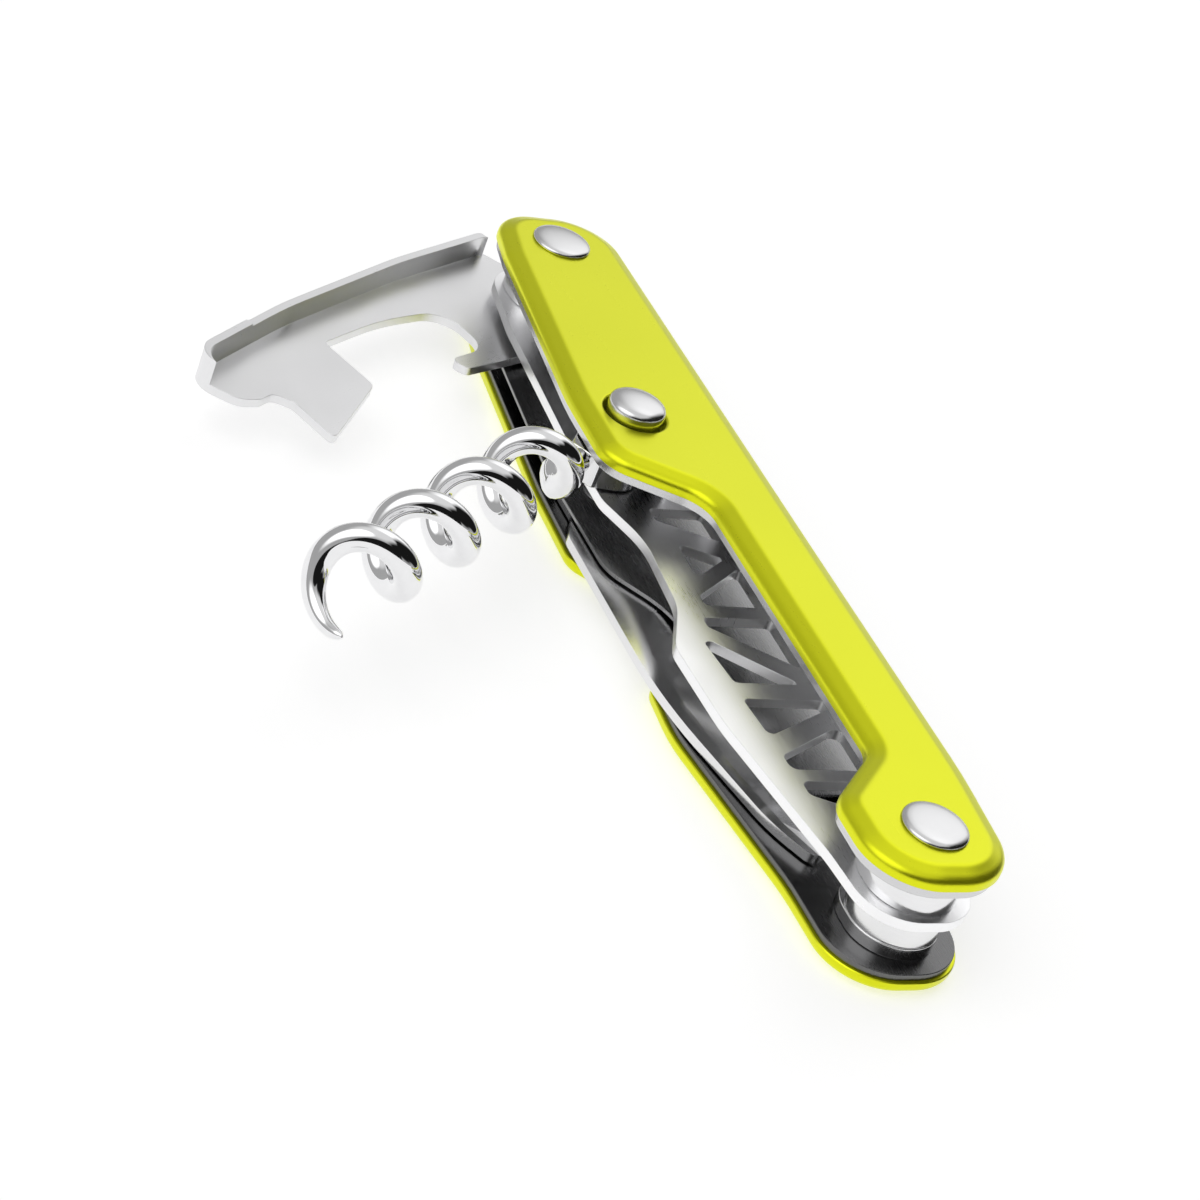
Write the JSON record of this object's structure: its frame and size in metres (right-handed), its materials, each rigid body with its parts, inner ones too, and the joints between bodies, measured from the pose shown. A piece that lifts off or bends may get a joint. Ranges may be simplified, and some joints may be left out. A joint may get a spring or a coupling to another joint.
{
  "type": "lever corkscrew",
  "caption": "Folding waiter's corkscrew: slim two-scale handle with a pivoting worm, a lever with cap lifter, and a folding foil knife.",
  "frame": {"origin": "on the flat outer face of the rear scale, midway between the two end pivots", "axes": "+X from the lower pivot to the lever's pivot, +Y to the belly where the tools fold in, +Z through the handle's thickness towards the front scale"},
  "size_m": [0.1128, 0.0556, 0.0175],
  "materials": {
    "green_anodised": "satin anodised yellow-green",
    "liner_steel": "polished",
    "plate_steel": "polished",
    "spring_steel": "satin",
    "turned_steel": "turned",
    "post_steel": "polished",
    "screw_steel": "satin",
    "lever_steel": "satin",
    "blade_steel": "ground",
    "hub_steel": "polished",
    "chrome_wire": "chromed"
  },
  "bodies": {
    "handle": {"front_scale": "green_anodised", "rear_scale": "green_anodised", "front_liner": "liner_steel", "rear_liner": "liner_steel", "truss_plate": "plate_steel", "divider_plate": "plate_steel", "blade_spring": "spring_steel", "worm_spring": "spring_steel", "lower_spacer": "turned_steel", "lever_washer": "turned_steel", "lever_bushing": "turned_steel", "blade_rear_washer": "turned_steel", "blade_front_washer": "turned_steel", "worm_rear_washer": "turned_steel", "worm_front_washer": "turned_steel", "lower_post": "post_steel", "upper_post": "post_steel", "middle_post": "post_steel", "lower_screw": "screw_steel", "upper_screw": "screw_steel", "middle_screw": "screw_steel"},
    "lever": {"lever": "lever_steel"},
    "worm": {"worm_hub": "hub_steel", "worm_wire": "chrome_wire"},
    "knife": {"blade": "blade_steel"}
  },
  "joints": [
    {"name": "lever_hinge", "type": "hinge", "parent": "handle", "child": "lever", "pos_m": [0.0475, 0, 0.005], "axis": [0, 0, 1], "range_deg": [-90, 56]},
    {"name": "worm_hinge", "type": "hinge", "parent": "handle", "child": "worm", "pos_m": [0.0152, 0.0042, 0.0095], "axis": [0, 0, 1], "range_deg": [-36.3, 51]},
    {"name": "knife_hinge", "type": "hinge", "parent": "handle", "child": "knife", "pos_m": [0.0152, 0.0042, 0.0031], "axis": [0, 0, 1], "range_deg": [-160, 0]}
  ]
}
